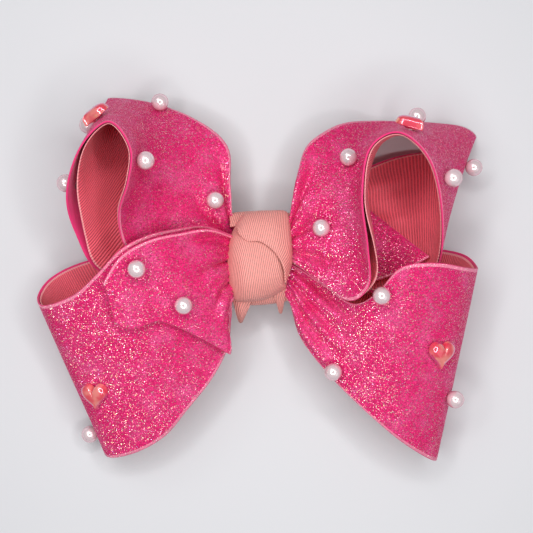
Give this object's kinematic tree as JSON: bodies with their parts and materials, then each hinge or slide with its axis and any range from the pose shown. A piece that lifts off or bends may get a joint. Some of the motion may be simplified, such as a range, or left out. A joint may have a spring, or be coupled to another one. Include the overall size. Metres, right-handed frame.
{
  "type": "hair bow",
  "caption": "Wide four-loop hair bow in lined glitter ribbon, with a knotted centre, pearls, domed hearts and an alligator clip behind it.",
  "frame": {"origin": "on the flat underside of the clip's moving jaw, straight behind the knot", "axes": "+Z out of the front of the bow, +Y up when it is worn, +X to the right seen from the front, along the clip"},
  "size_m": [0.2072, 0.171, 0.0683],
  "materials": {
    "glitter_velvet": "velvet ribbon with fine glitter",
    "lining_grosgrain": "ribbed grosgrain",
    "knot_grosgrain": "ribbed grosgrain",
    "thread": "sewing thread",
    "pearl": "pearlescent",
    "heart_resin": "iridescent gloss",
    "clip_steel": "plated"
  },
  "bodies": {
    "bow": {"upper_left_loop": "glitter_velvet", "upper_left_loop_lining": "lining_grosgrain", "upper_right_loop": "glitter_velvet", "upper_right_loop_lining": "lining_grosgrain", "lower_left_loop": "glitter_velvet", "lower_left_loop_lining": "lining_grosgrain", "lower_right_loop": "glitter_velvet", "lower_right_loop_lining": "lining_grosgrain", "left_tail": "glitter_velvet", "left_tail_lining": "lining_grosgrain", "right_tail": "glitter_velvet", "right_tail_lining": "lining_grosgrain", "centre_knot": "knot_grosgrain", "gather_thread": "thread", "upper_left_pearl_1": "pearl", "upper_left_pearl_2": "pearl", "upper_left_pearl_3": "pearl", "upper_left_pearl_4": "pearl", "upper_left_pearl_5": "pearl", "upper_left_rivets": "clip_steel", "left_tail_pearl_1": "pearl", "left_tail_pearl_2": "pearl", "left_tail_rivets": "clip_steel", "lower_left_pearl_1": "pearl", "lower_left_rivets": "clip_steel", "upper_right_pearl_1": "pearl", "upper_right_pearl_2": "pearl", "upper_right_pearl_3": "pearl", "upper_right_pearl_4": "pearl", "upper_right_pearl_5": "pearl", "upper_right_rivets": "clip_steel", "lower_right_pearl_1": "pearl", "lower_right_pearl_2": "pearl", "lower_right_pearl_3": "pearl", "lower_right_rivets": "clip_steel", "upper_left_heart": "heart_resin", "upper_right_heart": "heart_resin", "lower_left_heart": "heart_resin", "lower_right_heart": "heart_resin", "clip_fixed_jaw": "clip_steel", "clip_pivot_pin": "clip_steel", "clip_spring": "clip_steel"},
    "clip_jaw": {"clip_moving_jaw": "clip_steel", "clip_spring_leg": "clip_steel"}
  },
  "joints": [
    {"name": "clip_open", "type": "hinge", "parent": "bow", "child": "clip_jaw", "pos_m": [0.0162, 0, 0.0044], "axis": [0, -1, 0], "range_deg": [0, 20], "stiffness_Nm_per_rad": 0.03, "springref_deg": -28.65}
  ]
}
